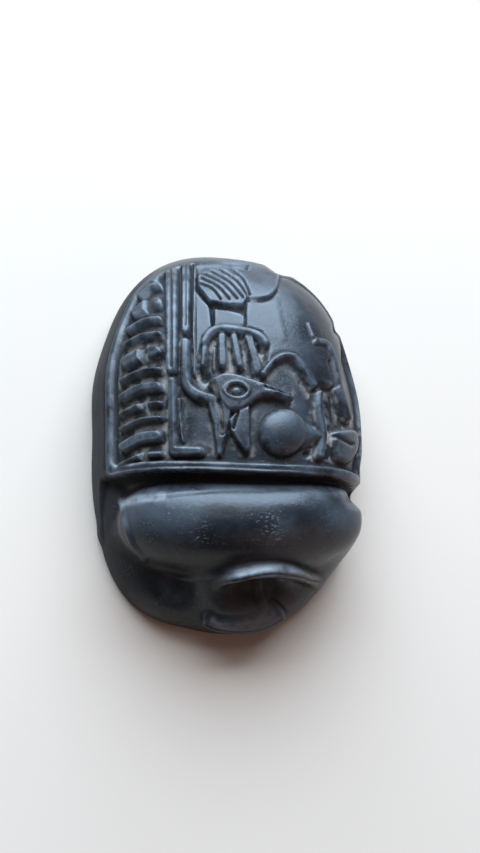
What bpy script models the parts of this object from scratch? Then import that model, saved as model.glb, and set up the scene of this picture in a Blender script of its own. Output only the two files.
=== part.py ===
"""Scarab amulet of black stone: a beetle with carved wing cases, lying on its flat underside.

The head is towards -Y, the tail towards +Y and the flat underside is at z = 0. The amulet is one
solid. Its smooth form is where the distances to a few soft blocks come to nothing, and its carving
is a height given to each point of that form. Both are worked out in millimetres. Free forms are
laid out on a pattern of PATTERN_SIZE and stretched to LENGTH, WIDTH and HEIGHT. Widths and depths
of the cuts aren't stretched.
"""

import math

import bmesh
import bpy
import numpy as np

# Driving sizes, in metres
LENGTH = 0.0771
WIDTH = 0.0550
HEIGHT = 0.0264
GROOVE_FROM_HEAD = 0.02615
GROOVE_WIDTH = 0.0016
GROOVE_DEPTH = 0.0029
GROOVE_END_HEIGHT = 0.0085
PANEL_DEPTH = 0.0013
PANEL_FROM_GROOVE = 0.0017
BORDER_WIDTH = 0.0019
BORDER_HEIGHT = 0.00045
BORDER_LEVEL = 0.0120
BORDER_RISE_AT_TAIL = 0.0045
RIM_WIDTH = 0.0018
RIM_HEIGHT = 0.00025
HOOD_HEIGHT = 0.0022
RECESS_DEPTH = 0.0030
BASE_EDGE_ROUNDING = 0.0016

# Smoothness of the model
BALL_CUTS = 150
TRIANGLES = 9800

# Pattern of the free forms, in millimetres
PATTERN_SIZE = np.array([55.0, 77.1, 26.4])
METRES_TO_MM = 1000.0
STRETCH = np.array([WIDTH, LENGTH, HEIGHT]) * METRES_TO_MM / PATTERN_SIZE

# The soft blocks on the pattern: centre, radii, squareness in plan and squareness upright
WING_CASES = ((0, 2.55, 0), (27.5, 36.55, 26.4), 2.55, 2.35)
PRONOTUM = ((1.0, -19.4, 11.0), (23.7, 9.0, 14.2), 2.45, 2.2)
LOWER_BODY = ((0, 0.2, 0), (26.3, 37.4, 14.5), 2.65, 3.0)
HEAD = ((0.6, -26.0, 0), (11.4, 11.4, 19.5), 2.2, 2.2)
GROOVE_FLOOR = ((0, 0, 0), (25.3, 30, 26.4), 2.2, 2.3)

# Fillets where the blocks meet, in millimetres
HEAD_FILLET = 3.0
GROOVE_TOP_ROUNDING = 0.9
GROOVE_FLOOR_FILLET = 0.8
GROOVE_CORNER_FILLET = 0.4
FLANK_FILLET = 0.5
NEAR_SHOULDER_FILLET = 2.5
FAR_SHOULDER_FILLET = 7.0

# The carving is drawn on a flat sheet, seen from this point and square to this line of sight
SHEET_TURN = math.radians(-39.4)
SHEET_RAISE = math.radians(68.35)
SHEET_AIM = np.array([1.1, 1.5, 9.9])
AIM_DISTANCE = 197.4
SHEET_DISTANCE = 200.0

GROOVE_Y = (GROOVE_FROM_HEAD - LENGTH / 2) * METRES_TO_MM
GROOVE_SLANT = -0.02
PRONOTUM_SLANT = -0.04
GROOVE_SWEEP = 0.0022
GROOVE_END_LEAN = 9.0
TAPER = 0.0008
BOW_AT_MIDDLE = 0.4
BOW = 0.0014
SWELL = 0.75
NEAR_SWELL_Y = 10.0
FAR_SWELL_Y = 17.0
SPINE_CENTRE_Y = GROOVE_Y + 3.4
SPINE_HALF = 14.0
SPINE_Z = 6.0


def clear_scene():
    """Remove what the scene holds."""
    for thing in list(bpy.data.objects):
        bpy.data.objects.remove(thing)


# Blends and distances


def smooth_min(a, b, blend):
    """The nearer of two distances, with a fillet where they meet."""
    share = np.clip(0.5 + 0.5 * (b - a) / blend, 0, 1)
    return b * (1 - share) + a * share - blend * share * (1 - share)


def smooth_max(a, b, blend):
    """The further of two distances, with a rounding where they meet."""
    return -smooth_min(-a, -b, blend)


def fade(value, low, high):
    """From 0 at low to 1 at high, easing in and out."""
    share = np.clip((value - low) / (high - low), 0, 1)
    return share * share * (3 - 2 * share)


def bump(distance, half_width):
    """1 on the line and 0 at half a width from it."""
    share = np.clip(1 - np.abs(distance) / half_width, 0, 1)
    return share * share * (3 - 2 * share)


def rounded_top(distance, height, shoulder):
    """A raised form: nothing at its outline, its full height a shoulder inside it."""
    return height * np.sin(np.clip(-distance / shoulder, 0, 1) * math.pi / 2)


def block(points, centre, radii, plan, upright):
    """Distance to a soft block: an oval with squarer corners as its two powers grow."""
    away = points - np.array(centre)
    share = np.abs(away / np.array(radii)) + 1e-9
    ring = (share[..., 0] ** plan + share[..., 1] ** plan) ** (1 / plan)
    reach = (ring**upright + share[..., 2] ** upright) ** (1 / upright)
    return np.sqrt((away**2).sum(-1)) * (1 - 1 / reach)


def curve(points, closed=False, steps=4):
    """A smooth line through the points."""
    knots = np.array(points, float)
    count = len(knots)
    line = []
    for i in range(count if closed else count - 1):
        places = [i - 1, i, i + 1, i + 2]
        if closed:
            a, b, c, d = (knots[j % count] for j in places)
        else:
            a, b, c, d = (knots[min(max(j, 0), count - 1)] for j in places)
        for u in np.arange(steps) / steps:
            bend = (2 * a - 5 * b + 4 * c - d) * u**2 + (3 * b - a - 3 * c + d) * u**3
            line.append(0.5 * (2 * b + (c - a) * u + bend))
    return np.array(line if closed else line + [knots[-1]])


def to_segment(s, t, start, end):
    """Distance to a straight line, and the share of the way along it."""
    along = end - start
    share = ((s - start[0]) * along[0] + (t - start[1]) * along[1]) / max(along @ along, 1e-9)
    share = np.clip(share, 0, 1)
    return np.hypot(s - start[0] - share * along[0], t - start[1] - share * along[1]), share


def to_stroke(s, t, points, half_width, end_half_width=None):
    """Distance to a stroke through the points, whose width may change evenly on the way."""
    line = np.array(points, float)
    spans = np.hypot(*(line[1:] - line[:-1]).T)
    run = np.concatenate([[0], np.cumsum(spans)]) / spans.sum()
    widening = 0 if end_half_width is None else end_half_width - half_width
    nearest = np.full(s.shape, 1e3)
    for i in range(len(line) - 1):
        distance, share = to_segment(s, t, line[i], line[i + 1])
        half = half_width + widening * (run[i] + (run[i + 1] - run[i]) * share)
        nearest = np.minimum(nearest, distance - half)
    return nearest


def to_outline(s, t, points):
    """Distance to a closed outline, negative inside it."""
    line = np.array(points, float)
    nearest = np.full(s.shape, 1e3)
    inside = np.zeros(s.shape, bool)
    for start, end in zip(line, np.roll(line, -1, axis=0)):
        nearest = np.minimum(nearest, to_segment(s, t, start, end)[0])
        if start[1] != end[1]:
            crossing = start[0] + (end[0] - start[0]) * (t - start[1]) / (end[1] - start[1])
            inside ^= ((start[1] > t) != (end[1] > t)) & (s < crossing)
    return np.where(inside, -nearest, nearest)


def to_oval(s, t, centre, radii, tilt=0.0):
    """Distance to an oval, negative inside it. Tilt is in degrees."""
    c, w = math.cos(math.radians(tilt)), math.sin(math.radians(tilt))
    a, b = s - centre[0], t - centre[1]
    return (np.hypot((a * c + b * w) / radii[0], (b * c - a * w) / radii[1]) - 1) * min(radii)


# The sheet that the carving is drawn on


def sheet_axes():
    """The sheet's own right, up and towards the eye."""
    level = math.cos(SHEET_RAISE)
    back = np.array(
        [
            math.sin(SHEET_TURN) * level,
            -math.cos(SHEET_TURN) * level,
            math.sin(SHEET_RAISE),
        ]
    )
    right = np.cross([0, 1, 0], back)
    right /= np.linalg.norm(right)
    return right, np.cross(back, right), back


RIGHT, UP, BACK = sheet_axes()
EYE = SHEET_AIM + AIM_DISTANCE * BACK


def on_sheet(points):
    """Where points of the pattern fall on the sheet: s to the right and t upwards, in millimetres."""
    away = points - EYE
    scale = SHEET_DISTANCE / -(away @ BACK)
    return scale * (away @ RIGHT), scale * (away @ UP)


# Marks on the wing cases. Each is (distance, top above the smooth back, width of its shoulder)

SOFT_EDGE = 1.3
CRISP_EDGE = 0.5


def plain_ground(s, t):
    """The smooth worn ground beside the figure, which stands a little below the back."""
    inner = [(0, 27.5), (9, 28.5), (11, 22), (13.4, 16.5), (12.2, 13.2), (10.4, 14.5), (8.4, 14.4)]
    inner += [(6.6, 13.4), (4.9, 11.2), (5.6, 16.5), (4.2, 19), (0, 20)]
    outer = [(7.0, 27.4), (7.0, 31.5), (13, 33), (19, 27), (21, 18), (20.6, 9), (17.4, 8), (15.2, 8.4)]
    outer += [(13, 11.6), (10.6, 15), (9.2, 18), (7.8, 21.5)]
    beside_fan = [(-9.2, 31.2), (-8.4, 27.4), (-5.8, 24), (-5.2, 20.8), (-7.4, 18.2), (-8.4, 14), (-9.2, 14)]
    arm = curve([(4.8, 10.9), (6.6, 13.2), (8.4, 14.4), (10.4, 14.5), (12.2, 13.2), (15.4, 8.8)])
    return [
        (to_outline(s, t, inner), -0.38, 0.8),
        (to_outline(s, t, curve(outer, closed=True)), -0.3, SOFT_EDGE),
        (to_outline(s, t, beside_fan), -0.4, 0.6),
        (to_stroke(s, t, arm, 0.85), -0.05, 0.7),
    ]


def dividers(s, t):
    """The upright ridges between the strokes and the figure, and the corner piece below."""
    corner = np.minimum(
        to_stroke(s, t, [(-13.8, 9.3), (-13.7, -4.3)], 1.1),
        to_stroke(s, t, [(-13.2, -4.8), (-8.4, -4.8)], 1.3, 1.2),
    )
    return [
        (to_stroke(s, t, [(-13.4, 36), (-14.0, 11.9)], 1.35), 0.05, CRISP_EDGE),
        (to_stroke(s, t, [(-10.7, 36), (-11.1, 19.6)], 0.75), 0.05, CRISP_EDGE),
        (to_stroke(s, t, [(-9.1, 32), (-9.4, 19), (-9.2, 14), (-9.3, 11)], 0.3), -0.3, 0.35),
        (corner, 0.05, 0.7),
        (to_stroke(s, t, [(-12.5, 6), (-12.3, 1), (-11.8, -2.7)], 0.3), -0.5, 0.35),
    ]


EYE_CENTRE = (-0.7, 7.1)


def figure(s, t):
    """The long-muzzled head on its bent neck, with the two pointed legs under its jaw."""
    neck = curve([(-11.1, 17.1), (-11.1, 11), (-10.6, 8.4), (-9.2, 7), (-7.4, 6.2), (-5.4, 5.6)])
    brow = curve([(-5.6, 7.7), (-5.8, 9.6), (-3.4, 11.2), (-0.8, 11.1), (3, 9.9), (7, 8.6), (10.9, 7.1)])
    jaw = [(10.9, 4.9), (7.6, 5.6), (4.2, 5.6), (2.2, 4.3), (0.2, 2.9), (-2.6, 3), (-4.4, 5.2), (-5.6, 7.7)]
    back_leg = [(-7.0, 5.6), (-5.7, 1), (-4.8, -5.9), (-3.6, -5.9), (-2.0, 0.4), (-1.4, 4), (-3.4, 5.8)]
    front_leg = [(-2.6, 1.6), (-0.8, 3.4), (2.2, 4.8), (2.3, -5.1), (1.0, -5.6), (-2.1, -0.8)]
    return [
        (to_stroke(s, t, neck, 1.2, 1.35), 0.1, 0.9),
        (to_outline(s, t, back_leg), 0.05, 0.65),
        (to_outline(s, t, front_leg), 0.05, 0.65),
        (to_outline(s, t, np.concatenate([brow, curve(jaw)])), 0.3, 1.0),
    ]


BALL_CENTRE = (9.0, -0.9)
BALL_RADIUS = 4.9
BALL_BULGE = 2.4


def ball_level(s, t):
    """The ball before the figure, domed, with a low bridge that joins it to the staff."""
    share = np.clip(-to_oval(s, t, BALL_CENTRE, (BALL_RADIUS, BALL_RADIUS)) / BALL_RADIUS, 0, 1)
    dome = BALL_BULGE * np.sqrt(1 - (1 - share) ** 2)
    bridge = rounded_top(to_stroke(s, t, [(10, -0.9), (16.8, -1.2)], 2.2, 1.6), 0.8, 1.6)
    return np.where(np.maximum(dome, bridge) > 0, smooth_max(dome, bridge, 0.5), 0)


def crown(s, t):
    """The figure's tall crown: hanging strips, a band, a block, and a fan with its end piece."""
    band = [(-7.2, 17.1), (-6.2, 18.8), (-4.4, 19.8), (-1.6, 19.8), (2.0, 19.1), (4.2, 18.2), (5.2, 17)]
    fan = [(-8.7, 31.2), (-7, 31.9), (-2.8, 31.8), (1.9, 31), (1.8, 26.6), (0.2, 24.9), (-3, 24.5)]
    fan += [(-6.4, 25), (-8.2, 27.4)]
    end_piece = [(0.6, 33), (4.6, 34), (8.6, 32), (8.4, 28.4), (6.2, 26), (0.6, 25.8)]
    block_sides = [(-5.4, 25), (1.1, 25), (1.2, 20), (-5.4, 20)]
    marks = [
        (to_stroke(s, t, curve(band), 0.9), 0.15, 0.8),
        (to_stroke(s, t, [(-7.1, 17), (-7.5, 12.6)], 0.95), -0.05, 0.8),
        (to_outline(s, t, block_sides), -0.3, CRISP_EDGE),
        (to_outline(s, t, fan), 0.15, 0.7),
        (to_outline(s, t, curve(end_piece, closed=True)), 0.1, 1.0),
        (to_stroke(s, t, [(-5.2, 16.5), (-5.4, 12.1)], 0.35), -0.6, 0.4),
    ]
    strips = [((-3.6, 18.4), (-3.5, 12.9), 1.0), ((-1.2, 18.4), (0.0, 12.6), 0.9)]
    strips += [((1.8, 18.4), (3.7, 11.6), 1.1)]
    for top, foot, half_width in strips:
        marks.append((to_stroke(s, t, [top, foot], half_width), -0.15, CRISP_EDGE))
    return marks


STROKE_HALF_WIDTHS = (0.75, 1.35, 0.75, 0.75, 1.15)
STROKE_ROWS = 12
STROKE_GAP = 1.5
FIRST_ROW_T = -5.3
ROW_END_S = -15.5
ROW_DROP = 2.3
ROW_BOW = 0.7


def far_flank_figures(s, t):
    """The limb, staff and foot on the flank away from the eye."""
    limb = curve([(15.4, 17.2), (17.6, 16.6), (19.2, 13), (20.4, 7.4), (22.2, 1.8)])
    staff = curve([(16.4, 6.9), (16.4, 3.3), (17.2, -1.3), (16.6, -5.6)])
    foot = [(19, -1.1), (21.2, -0.2), (24, -0.6), (24.4, -4.6), (22.2, -7.4), (19.4, -6.0)]
    return [
        (to_stroke(s, t, [(13.8, 20.8), (14.8, 18.2)], 0.55), 0.0, 0.6),
        (to_stroke(s, t, limb, 1.1, 1.0), 0.15, 0.9),
        (to_stroke(s, t, staff, 1.05), -0.05, 0.9),
        (to_outline(s, t, curve(foot, closed=True)), 0.0, 1.0),
    ]


def column_left_edge(t):
    """The left ends of the strokes follow the border, which leans in towards the tail."""
    return -25.0 + 0.012 * np.maximum(t - 8, 0) ** 2


def stroke_column(s, t):
    """Rows of bowed strokes down the near flank, thick and thin by turns, some broken in two."""
    marks = []
    end_t = FIRST_ROW_T
    for row in range(STROKE_ROWS):
        half_width = STROKE_HALF_WIDTHS[row % len(STROKE_HALF_WIDTHS)]
        start_t = end_t - ROW_DROP
        start_s = column_left_edge(start_t) + half_width
        finish_s = ROW_END_S - half_width
        middle_s = (start_s + finish_s) / 2
        middle = (middle_s, (start_t + end_t) / 2 + ROW_BOW)
        line = curve([(start_s, start_t), middle, (finish_s, end_t)], steps=3)
        distance = to_stroke(s, t, line, half_width)
        if row % 3 == 0:
            distance = np.maximum(distance, 0.5 - np.abs(s - middle_s - 0.6))
        marks.append((distance, 0.0, CRISP_EDGE))
        next_half_width = STROKE_HALF_WIDTHS[(row + 1) % len(STROKE_HALF_WIDTHS)]
        end_t += half_width + STROKE_GAP + next_half_width
    return marks


# Lines cut into the raised marks. Each is (distance, depth, half width)

FAN_LINES = 6


def fan_fold(share):
    """One fold of the fan. The folds start along its upper left and gather at its foot."""
    start = np.array([-8.2 + 6.6 * share**1.9, 28.7 + 2.7 * (1 - (1 - share) ** 2.2)])
    end = np.array([-3.9 + 6.1 * (1 - (1 - share) ** 1.6), 26.1 + 0.8 * share**2])
    return curve([start, (start + end) / 2 + np.array([0.45, 0.5]), end])


def cut_lines(s, t):
    """Strokes cut into the marks: each is a distance, a depth and a half width."""
    lines = [(to_stroke(s, t, fan_fold(share), 0.0), 0.7, 0.55) for share in np.linspace(0, 1, FAN_LINES)]
    strokes = [
        ([(-8.8, 30.3), (-8.4, 27.7), (-7.1, 25.7), (-5.9, 24.1), (-5.5, 21)], 0.55, 0.5),
        ([(-5.4, 24.3), (-3, 24.3), (-0.8, 24.4), (1.1, 23.2)], 0.6, 0.45),
        ([(-8.4, 31.5), (-2, 31.9), (1.5, 31.4)], 0.3, 0.4),
        ([(-14.0, 33), (-13.9, 12.1)], 0.4, 0.38),
        ([(5.6, 8.1), (8.2, 7.2), (11.2, 6.1)], 0.55, 0.4),
        ([(-5.2, 8.3), (-4.3, 5.7), (-3.6, 2.9), (-3.7, -1.6)], 0.85, 0.5),
        ([(-0.4, 2.9), (-1.3, -0.2)], 0.7, 0.45),
        ([(18.2, 13.2), (19.6, 8.3)], 0.35, 0.5),
        ([(19.6, -1.9), (22.4, -3.4)], 0.6, 0.5),
    ]
    for points, depth, half_width in strokes:
        lines.append((to_stroke(s, t, curve(points), 0.0), depth, half_width))
    return lines


HOLE_DEPTH = 0.7


def drilled(s, t):
    """The depth of the deep rounded holes in the corners of the ground."""
    depth = np.zeros(s.shape)
    holes = [((4.5, 16.6), 1.0), ((-7.3, 10.7), 1.2), ((14.5, -5.2), 0.8), ((-23.0, 18.7), 0.8)]
    for centre, radius in holes:
        depth += HOLE_DEPTH * bump(np.hypot(s - centre[0], t - centre[1]), 1.5 * radius)
    return depth


def eye_level(s, t):
    """The almond eye: its opening is sunk, and the eyeball stands in it."""
    x, y = EYE_CENTRE
    opening = np.maximum(*(to_oval(s, t, (x, y + shift), (2.35, 2.1), -10) for shift in (-0.7, 0.7)))
    ball = to_oval(s, t, EYE_CENTRE, (1.1, 0.95))
    return 0.15 * bump(opening - 0.25, 0.5) - rounded_top(opening, 0.5, 0.4) + rounded_top(ball, 0.5, 0.9)


def carved_level(s, t):
    """The carving's height against the smooth back: the sunk ground, and what stands on it."""
    sunk = PANEL_DEPTH * METRES_TO_MM
    level = np.full(s.shape, -sunk)
    for part in (plain_ground, dividers, figure, crown, far_flank_figures, stroke_column):
        for distance, top, shoulder in part(s, t):
            level = np.maximum(level, rounded_top(distance, top + sunk, shoulder) - sunk)
    level = np.maximum(level, ball_level(s, t) - sunk)
    level -= drilled(s, t) * fade(-level, 0.5 * sunk, sunk)
    for distance, depth, half_width in cut_lines(s, t):
        level = level - depth * bump(distance, half_width)
    return level + eye_level(s, t)


# The head end


def face_level(s, t):
    """The recess under the hood, with the beetle's face in it and the lip below it."""
    recess = to_oval(s, t, (2.4, -33.9), (9.3, 4.7), 5)
    level = -rounded_top(recess, RECESS_DEPTH * METRES_TO_MM, 2.2)
    level = level + 0.6 * bump(to_stroke(s, t, [(4.6, -32.4), (4.9, -36.4)], 0.0), 1.6)
    lumps = [((2.0, -31.7), 1.1, 0.6), ((5.8, -30.9), 1.0, 0.5), ((8.4, -31.6), 0.9, 0.5)]
    for centre, radius, height in lumps:
        level = level + rounded_top(to_oval(s, t, centre, (radius, radius)), height, radius)
    lip = curve([(-6.2, -37.4), (-4.4, -38.3), (0, -38.9), (4, -38.3), (7.8, -36.8)])
    return level + 1.5 * bump(to_stroke(s, t, lip, 0.2), 1.3)


def pronotum_lines(s, t):
    """The thin line along the pronotum's upper edge, and the fine ridge round its near end."""
    line = curve([(-22.4, -14.5), (-17, -14.4), (-11, -13.6), (-4, -13.0), (8, -12.9)])
    ridge = curve([(-23.5, -15.4), (-23.2, -17.9), (-22.4, -20.9), (-21.2, -24.1), (-19.2, -26.4)])
    faded = fade(-s, -10, 2)
    return 0.5 * bump(to_stroke(s, t, ridge, 0.0), 0.9) - 0.2 * faded * bump(to_stroke(s, t, line, 0.0), 0.6)


def bitten_depth(s, t):
    """The depth of the bites in the outline, drawn on the sheet where the edge shows."""
    depth = np.zeros(s.shape)
    bites = [((8.6, 32.5), (4.6, 2.8), -18, 1.7), ((19.9, 20.0), (1.7, 2.2), 0, 0.7)]
    bites += [((24.8, -8.4), (3.0, 3.4), 0, 0.35), ((24.8, -14.2), (5.0, 3.2), 0, 1.7)]
    for centre, radii, tilt, deepest in bites:
        depth += deepest * bump(1 + to_oval(s, t, centre, radii, tilt) / min(radii), 1)
    return depth


# The amulet


def groove_line(x):
    """The groove's middle across the back, slanted and with its ends swept towards the tail."""
    return GROOVE_Y - GROOVE_SLANT * x + GROOVE_SWEEP * x**2


def bowed(pattern):
    """The points with the amulet's slight sideways bow and its taper taken out."""
    straight = pattern.copy()
    x, y = pattern[:, 0], pattern[:, 1]
    swell_y = NEAR_SWELL_Y + (FAR_SWELL_Y - NEAR_SWELL_Y) * fade(x, -12, 12)
    straight[:, 0] -= BOW_AT_MIDDLE - BOW * (y - 2) ** 2 - SWELL * bump(y - swell_y, 13)
    straight[:, 0] /= 1 - TAPER * (y - GROOVE_Y / STRETCH[1])
    return straight


def soft_blocks(points):
    """Distances to the wing cases, the pronotum, the lower body with the head, and the groove's floor."""
    pattern = points / STRETCH
    straight = bowed(pattern)
    swept = pattern.copy()
    swept[:, 1] -= GROOVE_SWEEP * pattern[:, 0] ** 2 - PRONOTUM_SLANT * pattern[:, 0]
    lower = smooth_min(block(straight, *LOWER_BODY), block(pattern, *HEAD), HEAD_FILLET)
    centre, radii, plan, upright = GROOVE_FLOOR
    floor_radii = np.array(radii) - [0, 0, GROOVE_DEPTH * METRES_TO_MM]
    groove_floor = block(straight, centre, floor_radii, plan, upright)
    return block(straight, *WING_CASES), block(swept, *PRONOTUM), lower, groove_floor


def smooth_form(points):
    """Distance to the amulet before it is carved, negative inside."""
    cases, pronotum, lower, groove_floor = soft_blocks(points)
    x, y, z = points.T
    end_height = GROOVE_END_HEIGHT * METRES_TO_MM
    below_groove = fade(-z, -end_height, -0.4 * end_height)
    wall = groove_line(x) + GROOVE_WIDTH * METRES_TO_MM / 2 - GROOVE_END_LEAN * below_groove
    cases = smooth_max(cases, 0.92 * (wall - y), GROOVE_TOP_ROUNDING)
    upper = smooth_min(cases, pronotum, GROOVE_CORNER_FILLET)
    upper = smooth_min(upper, groove_floor, GROOVE_FLOOR_FILLET)
    shoulder = NEAR_SHOULDER_FILLET + (FAR_SHOULDER_FILLET - NEAR_SHOULDER_FILLET) * fade(x, 0, 14)
    fillet = FLANK_FILLET + (shoulder - FLANK_FILLET) * fade(GROOVE_Y - y, 4, 9)
    edge = BASE_EDGE_ROUNDING * METRES_TO_MM
    return smooth_max(smooth_min(upper, lower, fillet), -0.35 * edge - z, edge)


PANEL_EDGE_BLEND = 1.5
BORDER_LINE_DEPTH = 0.3
TAIL_WEAR = 0.7
FAR_FLANK_WEAR = 0.85


def panel_height(points):
    """The panel on the wing cases: its carving, the bead round it and the line outside the bead."""
    y = points[:, 1] / STRETCH[1]
    half = BORDER_WIDTH * METRES_TO_MM / 2
    level = (BORDER_LEVEL + BORDER_RISE_AT_TAIL * fade(y, 27, 34)) * METRES_TO_MM
    above_level = 1.05 * (points[:, 2] - level)
    behind_groove = points[:, 1] - groove_line(points[:, 0]) - PANEL_FROM_GROOVE * METRES_TO_MM
    inset = smooth_min(above_level, behind_groove, PANEL_EDGE_BLEND)
    inside = fade(inset, 0.6 * half, 1.4 * half)
    carving = carved_level(*on_sheet(points / STRETCH)) * inside
    at_groove = fade(above_level - behind_groove, -1, 1)
    worn = (1 - TAIL_WEAR * fade(y, 26, 33)) * (1 - FAR_FLANK_WEAR * fade(points[:, 0], 6, 14))
    crest = bump(inset + 0.15 + 0.6 * at_groove, half * (1.3 - 0.65 * at_groove))
    outer_line = BORDER_LINE_DEPTH * bump(inset + half + 0.7, 0.7) * (behind_groove > 0.5)
    return carving + worn * (BORDER_HEIGHT * METRES_TO_MM * crest - outer_line)


def front_height(points):
    """The rim under the pronotum, which swells into a hood over the recess with the face."""
    s, t = on_sheet(points / STRETCH)
    pronotum = soft_blocks(points)[1]
    beside_hood = fade(-s, -8, 0) * fade(s, -18, -8)
    rim = RIM_HEIGHT * beside_hood * bump(pronotum - 1.2, RIM_WIDTH * METRES_TO_MM / 2)
    arc = curve([(-5, -31.6), (-2, -30.1), (2, -29.0), (6, -28.5), (10, -28.9), (13, -29.9), (16, -31)])
    hood = HOOD_HEIGHT * fade(s, -6, 0) * fade(-s, -17, -12) * bump(to_stroke(s, t, arc, 0.1), 1.25)
    return METRES_TO_MM * (rim + hood) + face_level(s, t) * fade(points[:, 2], 1.5, 4.0)


def carved_height(points):
    """All of the carving and wear at each point of the smooth form."""
    height = np.zeros(len(points))
    ahead = points[:, 1] < groove_line(points[:, 0]) - 2
    upper = points[:, 2] > 0.5 * BORDER_LEVEL * METRES_TO_MM
    height[ahead] = front_height(points[ahead])
    height[upper & ~ahead] = panel_height(points[upper & ~ahead])
    s, t = on_sheet(points / STRETCH)
    on_pronotum = soft_blocks(points)[1] < 0.6
    height[on_pronotum] += pronotum_lines(s[on_pronotum], t[on_pronotum])
    return height - bitten_depth(s, t)


def surface_along(directions):
    """The point where each direction from the spine leaves the amulet, in millimetres."""
    starts = np.zeros_like(directions)
    starts[:, 1] = SPINE_CENTRE_Y + SPINE_HALF * directions[:, 1]
    starts[:, 2] = SPINE_Z
    reach = np.full(len(directions), 60.0)
    for _ in range(45):
        reach -= 0.75 * smooth_form(starts + reach[:, None] * directions)
    smooth = starts + reach[:, None] * directions
    return smooth + carved_height(smooth)[:, None] * directions


def ball_mesh(name):
    """A cube with evenly divided sides, its points moved out to the amulet's surface."""
    ball = bmesh.new()
    bmesh.ops.create_cube(ball, size=2.0)
    bmesh.ops.subdivide_edges(ball, edges=ball.edges[:], cuts=BALL_CUTS, use_grid_fill=True)
    mesh = bpy.data.meshes.new(name)
    ball.to_mesh(mesh)
    ball.free()
    places = np.empty(len(mesh.vertices) * 3)
    mesh.vertices.foreach_get("co", places)
    directions = np.tan(places.reshape(-1, 3) * math.pi / 4)
    directions /= np.linalg.norm(directions, axis=1, keepdims=True)
    points = surface_along(directions) / METRES_TO_MM
    mesh.vertices.foreach_set("co", points.ravel())
    mesh.update()
    return mesh


def simplified(thing):
    """The object's mesh with its flatter faces merged, down to TRIANGLES."""
    thing.data.calc_loop_triangles()
    modifier = thing.modifiers.new("Fewer faces", "DECIMATE")
    modifier.ratio = TRIANGLES / len(thing.data.loop_triangles)
    graph = bpy.context.evaluated_depsgraph_get()
    mesh = bpy.data.meshes.new_from_object(thing.evaluated_get(graph))
    thing.modifiers.remove(modifier)
    return mesh


def cut_flat_underside(mesh):
    """Cut the mesh at z = 0 and close it with one flat face."""
    shape = bmesh.new()
    shape.from_mesh(mesh)
    everything = shape.verts[:] + shape.edges[:] + shape.faces[:]
    bmesh.ops.bisect_plane(
        shape, geom=everything, plane_co=(0, 0, 0), plane_no=(0, 0, 1), clear_inner=True
    )
    rim = [edge for edge in shape.edges if edge.is_boundary]
    for edge in rim:
        for corner in edge.verts:
            corner.co.z = 0.0
    bmesh.ops.holes_fill(shape, edges=rim, sides=0)
    bmesh.ops.recalc_face_normals(shape, faces=shape.faces[:])
    shape.to_mesh(mesh)
    shape.free()


def centre_on_origin(mesh):
    """Move the mesh so that the origin is under the middle of its box."""
    places = np.empty(len(mesh.vertices) * 3)
    mesh.vertices.foreach_get("co", places)
    places = places.reshape(-1, 3)
    middle = (places.min(axis=0) + places.max(axis=0)) / 2
    middle[2] = 0.0
    mesh.vertices.foreach_set("co", (places - middle).ravel())
    mesh.update()


def black_stone():
    """Polished black stone."""
    stone = bpy.data.materials.new("black_stone")
    stone.use_nodes = True
    shader = stone.node_tree.nodes["Principled BSDF"]
    shader.inputs["Base Color"].default_value = (0.020, 0.022, 0.025, 1)
    shader.inputs["Roughness"].default_value = 0.38
    shader.inputs["Metallic"].default_value = 0.0
    return stone


def make_amulet():
    """The whole amulet as one closed solid."""
    collection = bpy.data.collections.new("scarab_amulet")
    bpy.context.scene.collection.children.link(collection)
    amulet = bpy.data.objects.new("scarab", ball_mesh("scarab"))
    collection.objects.link(amulet)
    bpy.context.view_layer.update()
    amulet.data = simplified(amulet)
    cut_flat_underside(amulet.data)
    centre_on_origin(amulet.data)
    amulet.data.materials.append(black_stone())
    amulet.data.shade_smooth()
    amulet.data.set_sharp_from_angle(angle=math.radians(35))
    return amulet


clear_scene()
make_amulet()
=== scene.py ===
# %% [markdown]
# # A scarab amulet of black stone
#
# The amulet is a beetle about 77 mm long, carved from one piece of black stone. The wing cases carry
# a sunk panel with a figure in relief. A deep groove parts them from the smooth pronotum, and below
# that a raised rim swells into a hood over the beetle's small head. This lesson shapes the stone as
# one mesh, polishes and soils it with a procedural material, and lights it softly on a pale floor.

import math

import bmesh
import bpy
import numpy as np
from mathutils import Matrix, Vector


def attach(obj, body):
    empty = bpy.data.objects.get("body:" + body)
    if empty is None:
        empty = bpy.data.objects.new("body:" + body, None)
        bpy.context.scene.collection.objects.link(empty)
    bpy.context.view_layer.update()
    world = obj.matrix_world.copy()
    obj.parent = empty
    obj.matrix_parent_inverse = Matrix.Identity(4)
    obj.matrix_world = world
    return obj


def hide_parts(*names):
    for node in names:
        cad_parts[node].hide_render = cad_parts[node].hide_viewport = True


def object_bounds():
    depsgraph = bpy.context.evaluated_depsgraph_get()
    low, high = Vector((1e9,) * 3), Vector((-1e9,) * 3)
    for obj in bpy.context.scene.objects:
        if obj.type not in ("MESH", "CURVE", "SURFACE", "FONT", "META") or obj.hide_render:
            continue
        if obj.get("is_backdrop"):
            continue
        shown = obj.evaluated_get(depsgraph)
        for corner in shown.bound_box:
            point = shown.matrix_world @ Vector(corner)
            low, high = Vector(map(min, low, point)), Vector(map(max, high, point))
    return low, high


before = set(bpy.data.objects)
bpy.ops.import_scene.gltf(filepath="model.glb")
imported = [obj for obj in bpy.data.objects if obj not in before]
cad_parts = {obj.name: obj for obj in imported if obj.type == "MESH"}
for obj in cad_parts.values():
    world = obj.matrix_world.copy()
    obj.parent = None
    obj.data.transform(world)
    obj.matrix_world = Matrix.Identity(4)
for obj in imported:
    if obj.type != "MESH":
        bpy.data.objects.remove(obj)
cad_low, cad_high = (np.array(corner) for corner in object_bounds())
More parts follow.
